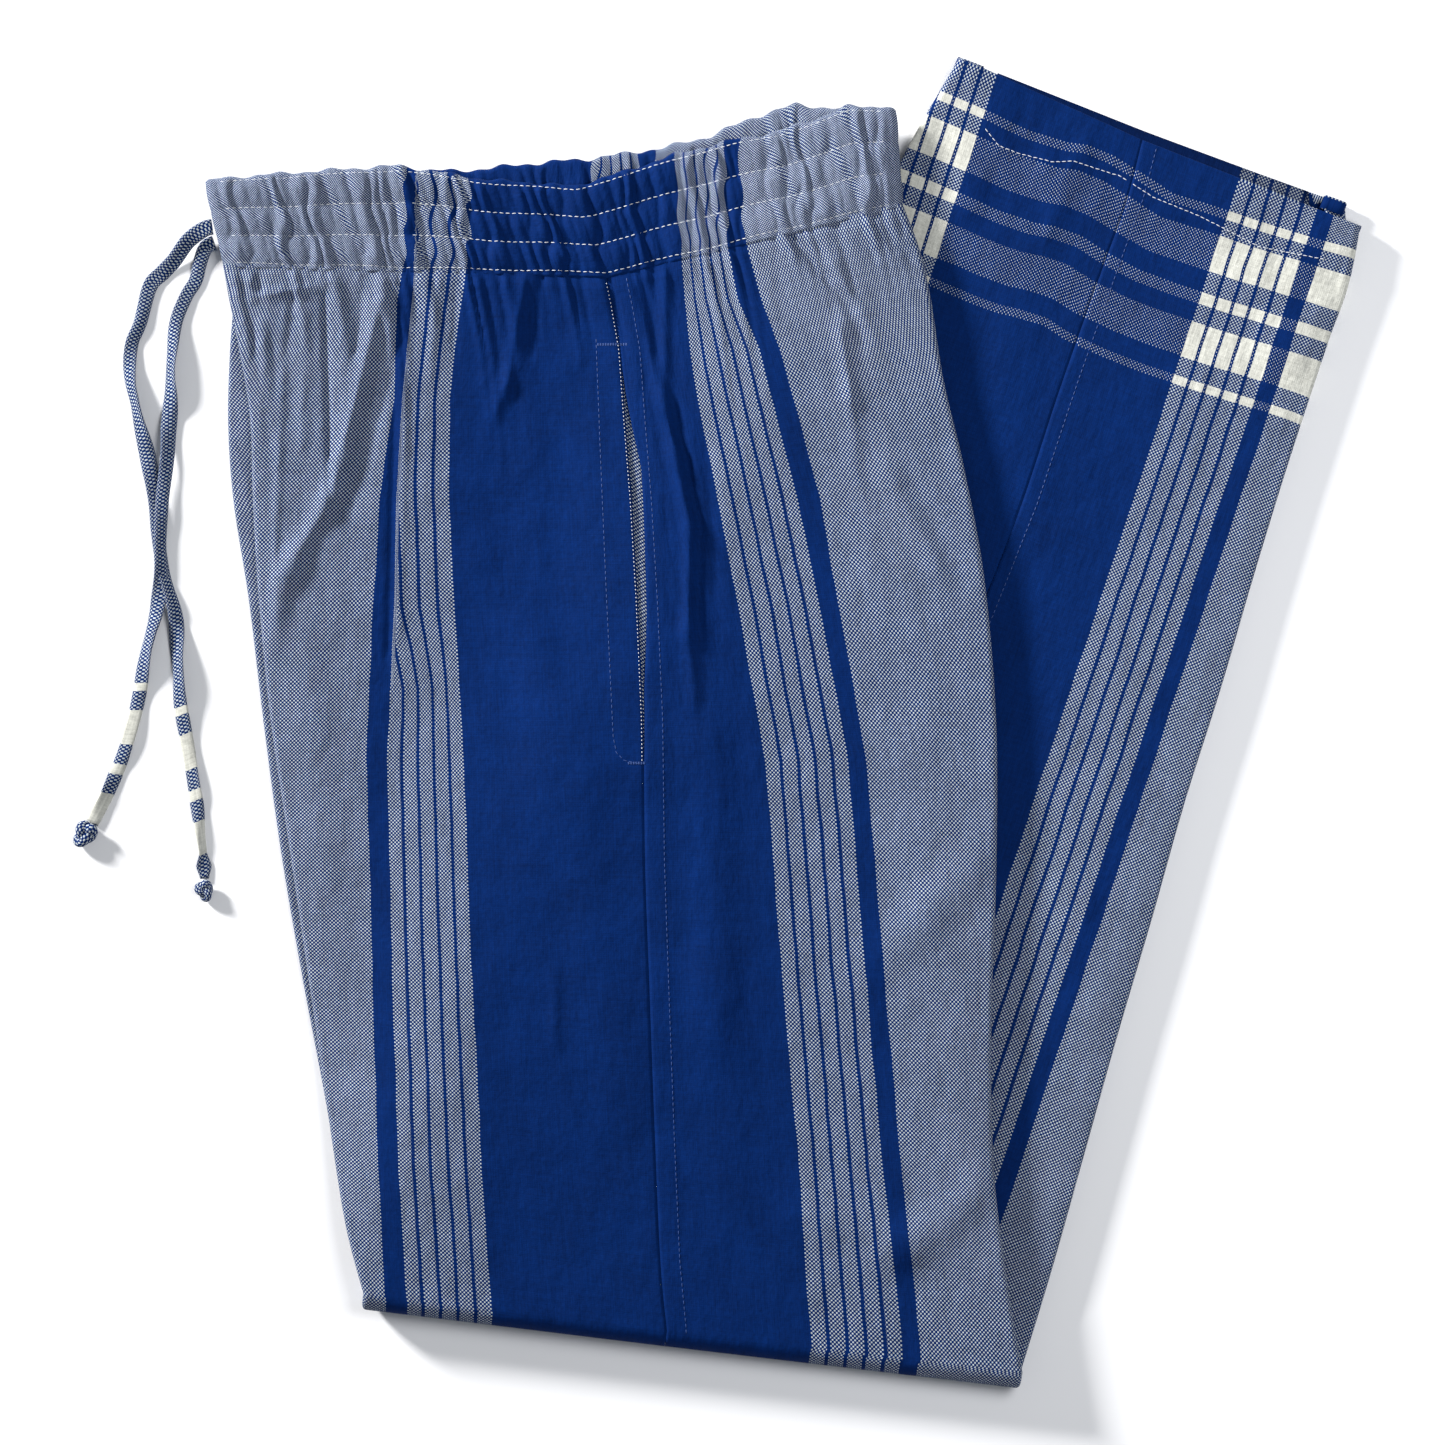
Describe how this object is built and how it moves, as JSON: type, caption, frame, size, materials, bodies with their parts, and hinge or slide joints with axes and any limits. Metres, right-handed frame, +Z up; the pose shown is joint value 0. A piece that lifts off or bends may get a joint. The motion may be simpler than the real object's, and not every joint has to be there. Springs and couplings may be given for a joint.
{
  "type": "folded kikoy trousers",
  "caption": "Striped cotton drawstring trousers with a gathered elastic waist, laid flat on one side and folded at the knee.",
  "frame": {"origin": "middle of the folded garment's footprint without the drawstring ends, on the surface it lies on", "axes": "+Z up off the surface, +Y from the knee fold towards the waist, +X from the centre front towards the centre back"},
  "size_m": [0.5541, 0.572, 0.0191],
  "materials": {
    "cloth_left_front": "plain woven cotton, matt",
    "cloth_left_back": "plain woven cotton, matt",
    "cloth_right_front": "plain woven cotton, matt",
    "cloth_right_back": "plain woven cotton, matt",
    "cloth_hidden": "plain woven cotton, matt",
    "cloth_casing": "plain woven cotton, matt",
    "cloth_facing": "plain woven cotton, matt",
    "cloth_tie": "plain woven cotton, matt"
  },
  "bodies": {
    "root": {"left_front": "cloth_left_front", "left_back": "cloth_left_back", "right_front": "cloth_right_front", "right_back": "cloth_right_back", "hidden_layers": "cloth_hidden", "waist_casing_left": "cloth_casing", "waist_casing_right": "cloth_casing", "pocket_facing_left": "cloth_facing", "drawstring_a": "cloth_tie", "drawstring_b": "cloth_tie", "knot_a": "cloth_tie", "knot_b": "cloth_tie"}
  },
  "joints": []
}
